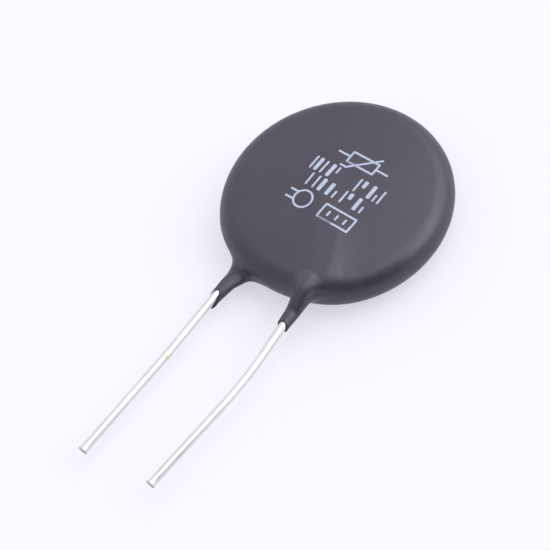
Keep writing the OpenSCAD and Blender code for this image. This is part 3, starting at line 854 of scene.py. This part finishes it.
# seen by the camera or mirrored, the card is partly its own pale colour, and the rest keeps the shadow
own_light = 0.62
paper_white = card.nodes.new("ShaderNodeEmission")
paper_white.inputs["Color"].default_value = (0.95, 0.93, 1.0, 1)
seen = card.nodes.new("ShaderNodeLightPath")
is_seen = seen.outputs["Is Camera Ray"]
for kind in ("Is Glossy Ray", "Is Transmission Ray"):
    total = card.nodes.new("ShaderNodeMath")
    card.join(is_seen, total.inputs[0])
    card.join(seen.outputs[kind], total.inputs[1])
    is_seen = total.outputs[0]
share_seen = card.nodes.new("ShaderNodeMath")
share_seen.operation = "MULTIPLY"
share_seen.inputs[1].default_value = own_light
card.join(is_seen, share_seen.inputs[0])
lifted = card.nodes.new("ShaderNodeMixShader")
card.join(share_seen.outputs[0], lifted.inputs[0])
card.join(card.shader.outputs[0], lifted.inputs[1])
card.join(paper_white.outputs[0], lifted.inputs[2])
card.join(lifted.outputs[0], card.nodes["Material Output"].inputs["Surface"])
sweep.data.materials.append(card.material)

world = bpy.data.worlds.new("studio")
bpy.context.scene.world = world
world.use_nodes = True
tent = world.node_tree
glow = tent.nodes["Background"]
glow.inputs["Color"].default_value = (0.91, 0.92, 1.0, 1)
outlook = tent.nodes.new("ShaderNodeTexCoord").outputs["Generated"]


def tent_patch(towards, edge, middle, low, high):
    """A soft round patch of the tent: low beyond the edge's cosine, high at and within the middle's."""
    facing = tent.nodes.new("ShaderNodeVectorMath")
    facing.operation = "DOT_PRODUCT"
    facing.inputs[1].default_value = unit(np.array(towards)).tolist()
    tent.links.new(outlook, facing.inputs[0])
    patch = tent.nodes.new("ShaderNodeMapRange")
    patch.interpolation_type = "SMOOTHSTEP"
    for name, number in {"From Min": edge, "From Max": middle, "To Min": low, "To Max": high}.items():
        patch.inputs[name].default_value = number
    tent.links.new(facing.outputs["Value"], patch.inputs["Value"])
    return patch.outputs["Result"]


def tent_math(operation, a, b):
    node = tent.nodes.new("ShaderNodeMath")
    node.operation = operation
    tent.links.new(a, node.inputs[0])
    tent.links.new(b, node.inputs[1])
    return node.outputs[0]


# the tent's cloth, which the right wall brightens, with the back and left walls added to it
right_wall = tent_patch((0.42, 0.38, 0.82), edge=0.55, middle=0.98, low=0.7, high=2.15)
back_wall = tent_patch((0.15, 0.72, 0.68), edge=0.74, middle=1.0, low=0, high=0.7)
left_wall = tent_patch((-0.92, 0.25, 0.25), edge=0.6, middle=1.0, low=0, high=0.5)
cloth = tent_math("ADD", tent_math("ADD", right_wall, back_wall), left_wall)
# the dark opening, which ends where the wires would mirror it
opening = tent_patch((0.84, -0.4, 0.38), edge=0.62, middle=0.84, low=1.0, high=0.01)
beyond_wires = tent_patch((0, 1, 0), edge=0.06, middle=0.2, low=0, high=1)
strength = tent_math("MULTIPLY", cloth, tent_math("MAXIMUM", opening, beyond_wires))
tent.links.new(strength, glow.inputs["Strength"])


def placed(piece, right, up, back, place):
    """Sets a lamp or camera at that place in metres, looking away from back."""
    axes = [(right[k], up[k], back[k], place[k]) for k in range(3)]
    piece.matrix_world = Matrix(axes + [(0, 0, 0, 1)])


# a square of light facing the part, as bright as a white card of that strength
lamp_at, lamp_side, lamp_strength = (0.5, 0.3, 0.47), 0.36, 2.0
lamp = bpy.data.lights.new("right_side", "AREA")
lamp.shape = "RECTANGLE"
lamp.size, lamp.size_y = lamp_side, lamp_side
lamp.energy = lamp_strength * math.pi * lamp_side * lamp_side
lamp.color = (1.0, 0.95, 0.88)
lamp_holder = new_object("right_side", lamp)
lamp_holder.visible_camera = False
back = unit(np.array(lamp_at))
right = unit(np.cross((0.0, 0.0, 1.0), back))
placed(lamp_holder, right, np.cross(back, right), back, lamp_at)

view_angle, clip_from, eye_from_centre_mm = 13, 0.01, (124.7, -106.0, 225.0)
view_right, view_up = (0.7942, 0.5740, -0.2013), (-0.4017, 0.7435, 0.5353)
view_back = (0.4566, -0.3441, 0.8204)
camera = bpy.data.cameras.new("camera")
camera.angle = math.radians(view_angle)
camera.clip_start = clip_from
view = new_object("camera", camera)
placed(view, view_right, view_up, view_back, (np.array(eye_from_centre_mm) + centre) / mm_per_metre)
bpy.context.scene.camera = view
bpy.context.scene.view_settings.view_transform = "Standard"
